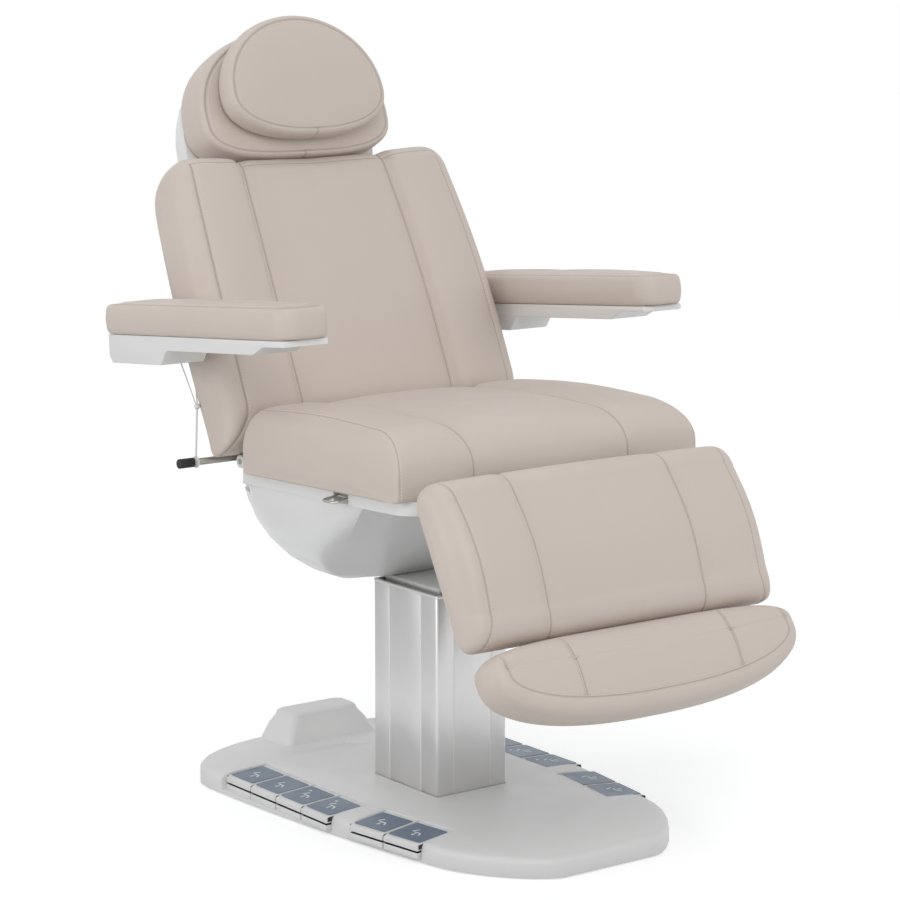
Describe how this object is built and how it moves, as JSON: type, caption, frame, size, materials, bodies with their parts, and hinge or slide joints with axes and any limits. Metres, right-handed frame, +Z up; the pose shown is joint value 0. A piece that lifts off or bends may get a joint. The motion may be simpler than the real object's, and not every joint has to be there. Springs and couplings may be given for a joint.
{
  "type": "podiatry chair",
  "caption": "Upholstered podiatry chair on a lifting, turning column with a pedal base, reclining back, head rest, swing-up armrests, leg rest and sliding foot rest.",
  "frame": {"origin": "on the floor, on the axis of the lifting column", "axes": "+Z up, -Y the way a sitter faces, +X towards the sitter's left"},
  "size_m": [0.808, 1.167, 1.2913],
  "materials": {
    "vinyl": "satin",
    "shell_white": "satin",
    "cover_grey": "matte",
    "black_rubber": "matte",
    "black_plastic": "matte",
    "aluminium": "satin",
    "steel": "satin",
    "dark_steel": "satin",
    "plywood": "matte",
    "cord": "matte",
    "bead": "gloss"
  },
  "bodies": {
    "base": {"base_plate": "dark_steel", "levelling_feet": "black_rubber", "base_cover": "cover_grey", "mains_inlet": "black_plastic", "cover_cap": "cover_grey", "column_outer": "aluminium", "column_trim": "aluminium", "pedal_blocks": "cover_grey", "pedal_rods": "steel"},
    "pedal_right_1_key": {"pedal_right_1": "cover_grey"},
    "pedal_right_2_key": {"pedal_right_2": "cover_grey"},
    "pedal_right_3_key": {"pedal_right_3": "cover_grey"},
    "pedal_right_4_key": {"pedal_right_4": "cover_grey"},
    "pedal_right_5_key": {"pedal_right_5": "cover_grey"},
    "pedal_right_6_key": {"pedal_right_6": "cover_grey"},
    "pedal_left_1_key": {"pedal_left_1": "cover_grey"},
    "pedal_left_2_key": {"pedal_left_2": "cover_grey"},
    "pedal_left_3_key": {"pedal_left_3": "cover_grey"},
    "pedal_left_4_key": {"pedal_left_4": "cover_grey"},
    "pedal_left_5_key": {"pedal_left_5": "cover_grey"},
    "pedal_left_6_key": {"pedal_left_6": "cover_grey"},
    "lift_middle": {"column_middle": "aluminium"},
    "lift_inner": {"column_inner": "aluminium"},
    "swivel": {"swivel_head": "cover_grey"},
    "seat": {"seat_frame": "dark_steel", "seat_shell": "shell_white", "seat_cushion": "vinyl", "tilt_pin": "steel", "back_hinge_brackets": "shell_white", "back_hinge_pins": "steel", "leg_hinge_pins": "steel"},
    "lever": {"release_lever": "steel"},
    "back": {"back_board": "plywood", "back_cover": "shell_white", "back_frame": "dark_steel", "back_cushion": "vinyl", "paper_bar": "steel", "bar_caps": "black_rubber", "elastic_cords": "cord", "cord_beads": "bead", "cord_hooks": "steel", "arm_brackets": "shell_white", "arm_pins": "steel"},
    "arm_right": {"arm_shell_right": "shell_white", "arm_pad_right": "vinyl"},
    "arm_left": {"arm_shell_left": "shell_white", "arm_pad_left": "vinyl"},
    "head_slide": {"head_rods": "steel"},
    "head": {"head_axle": "steel", "head_shell": "shell_white", "head_cushion": "vinyl", "head_pillow": "vinyl"},
    "leg": {"leg_frame": "dark_steel", "leg_board": "shell_white", "calf_cushion": "vinyl"},
    "foot": {"foot_slides": "steel", "foot_board": "shell_white", "foot_cushion": "vinyl"}
  },
  "joints": [
    {"name": "pedal_right_1_press", "type": "hinge", "parent": "base", "child": "pedal_right_1_key", "pos_m": [-0.188, 0.21225, 0.0333], "axis": [0, -1, 0], "range_deg": [0, 2], "stiffness_Nm_per_rad": 5, "springref_deg": -5.73},
    {"name": "pedal_right_2_press", "type": "hinge", "parent": "base", "child": "pedal_right_2_key", "pos_m": [-0.188, 0.13675, 0.0333], "axis": [0, -1, 0], "range_deg": [0, 2], "stiffness_Nm_per_rad": 5, "springref_deg": -5.73},
    {"name": "pedal_right_3_press", "type": "hinge", "parent": "base", "child": "pedal_right_3_key", "pos_m": [-0.188, 0.06125, 0.0333], "axis": [0, -1, 0], "range_deg": [0, 2], "stiffness_Nm_per_rad": 5, "springref_deg": -5.73},
    {"name": "pedal_right_4_press", "type": "hinge", "parent": "base", "child": "pedal_right_4_key", "pos_m": [-0.188, -0.01425, 0.0333], "axis": [0, -1, 0], "range_deg": [0, 2], "stiffness_Nm_per_rad": 5, "springref_deg": -5.73},
    {"name": "pedal_right_5_press", "type": "hinge", "parent": "base", "child": "pedal_right_5_key", "pos_m": [-0.17442, -0.13006, 0.0333], "axis": [0.1392, -0.9903, 0], "range_deg": [0, 2], "stiffness_Nm_per_rad": 5, "springref_deg": -5.73},
    {"name": "pedal_right_6_press", "type": "hinge", "parent": "base", "child": "pedal_right_6_key", "pos_m": [-0.16336, -0.20878, 0.0333], "axis": [0.1392, -0.9903, 0], "range_deg": [0, 2], "stiffness_Nm_per_rad": 5, "springref_deg": -5.73},
    {"name": "pedal_left_1_press", "type": "hinge", "parent": "base", "child": "pedal_left_1_key", "pos_m": [0.188, 0.21225, 0.0333], "axis": [0, 1, 0], "range_deg": [0, 2], "stiffness_Nm_per_rad": 5, "springref_deg": -5.73},
    {"name": "pedal_left_2_press", "type": "hinge", "parent": "base", "child": "pedal_left_2_key", "pos_m": [0.188, 0.13675, 0.0333], "axis": [0, 1, 0], "range_deg": [0, 2], "stiffness_Nm_per_rad": 5, "springref_deg": -5.73},
    {"name": "pedal_left_3_press", "type": "hinge", "parent": "base", "child": "pedal_left_3_key", "pos_m": [0.188, 0.06125, 0.0333], "axis": [0, 1, 0], "range_deg": [0, 2], "stiffness_Nm_per_rad": 5, "springref_deg": -5.73},
    {"name": "pedal_left_4_press", "type": "hinge", "parent": "base", "child": "pedal_left_4_key", "pos_m": [0.188, -0.01425, 0.0333], "axis": [0, 1, 0], "range_deg": [0, 2], "stiffness_Nm_per_rad": 5, "springref_deg": -5.73},
    {"name": "pedal_left_5_press", "type": "hinge", "parent": "base", "child": "pedal_left_5_key", "pos_m": [0.17442, -0.13006, 0.0333], "axis": [0.1392, 0.9903, 0], "range_deg": [0, 2], "stiffness_Nm_per_rad": 5, "springref_deg": -5.73},
    {"name": "pedal_left_6_press", "type": "hinge", "parent": "base", "child": "pedal_left_6_key", "pos_m": [0.16336, -0.20878, 0.0333], "axis": [0.1392, 0.9903, 0], "range_deg": [0, 2], "stiffness_Nm_per_rad": 5, "springref_deg": -5.73},
    {"name": "lift_middle_slide", "type": "slide", "parent": "base", "child": "lift_middle", "axis": [0, 0, 1], "range_m": [0, 0.125]},
    {"name": "lift_inner_slide", "type": "slide", "parent": "lift_middle", "child": "lift_inner", "axis": [0, 0, 1], "range_m": [0, 0.125]},
    {"name": "swivel_turn", "type": "hinge", "parent": "lift_inner", "child": "swivel", "pos_m": [0, 0, 0.377], "axis": [0, 0, 1], "range_deg": [-120, 120]},
    {"name": "seat_tilt", "type": "hinge", "parent": "swivel", "child": "seat", "pos_m": [0, 0.08, 0.47], "axis": [-1, 0, 0], "range_deg": [0, 10]},
    {"name": "lever_lift", "type": "hinge", "parent": "seat", "child": "lever", "pos_m": [-0.273, -0.12257, 0.56854], "axis": [0, 0.9993, -0.0366], "range_deg": [0, 15], "stiffness_Nm_per_rad": 0.1, "springref_deg": -17.19},
    {"name": "back_recline", "type": "hinge", "parent": "seat", "child": "back", "pos_m": [0, 0.205, 0.575], "axis": [-1, 0, 0], "range_deg": [0, 58]},
    {"name": "arm_right_swing", "type": "hinge", "parent": "back", "child": "arm_right", "pos_m": [-0.356, 0.2996, 0.76146], "axis": [-1, 0, 0], "range_deg": [-20, 75]},
    {"name": "arm_left_swing", "type": "hinge", "parent": "back", "child": "arm_left", "pos_m": [0.356, 0.2996, 0.76146], "axis": [-1, 0, 0], "range_deg": [-20, 75]},
    {"name": "head_rise", "type": "slide", "parent": "back", "child": "head_slide", "axis": [0, 0.4524, 0.8918], "range_m": [0, 0.08]},
    {"name": "head_tilt", "type": "hinge", "parent": "head_slide", "child": "head", "pos_m": [0, 0.47749, 1.05022], "axis": [-1, 0, 0], "range_deg": [0, 15]},
    {"name": "leg_raise", "type": "hinge", "parent": "seat", "child": "leg", "pos_m": [0, -0.32574, 0.59528], "axis": [-1, 0, 0], "range_deg": [-15, 61.75]},
    {"name": "foot_extend", "type": "slide", "parent": "leg", "child": "foot", "axis": [0, -0.4733, -0.8809], "range_m": [0, 0.11]}
  ],
  "couplings": [
    {"joint": "lift_inner_slide", "follows": "lift_middle_slide", "ratio": 1}
  ]
}
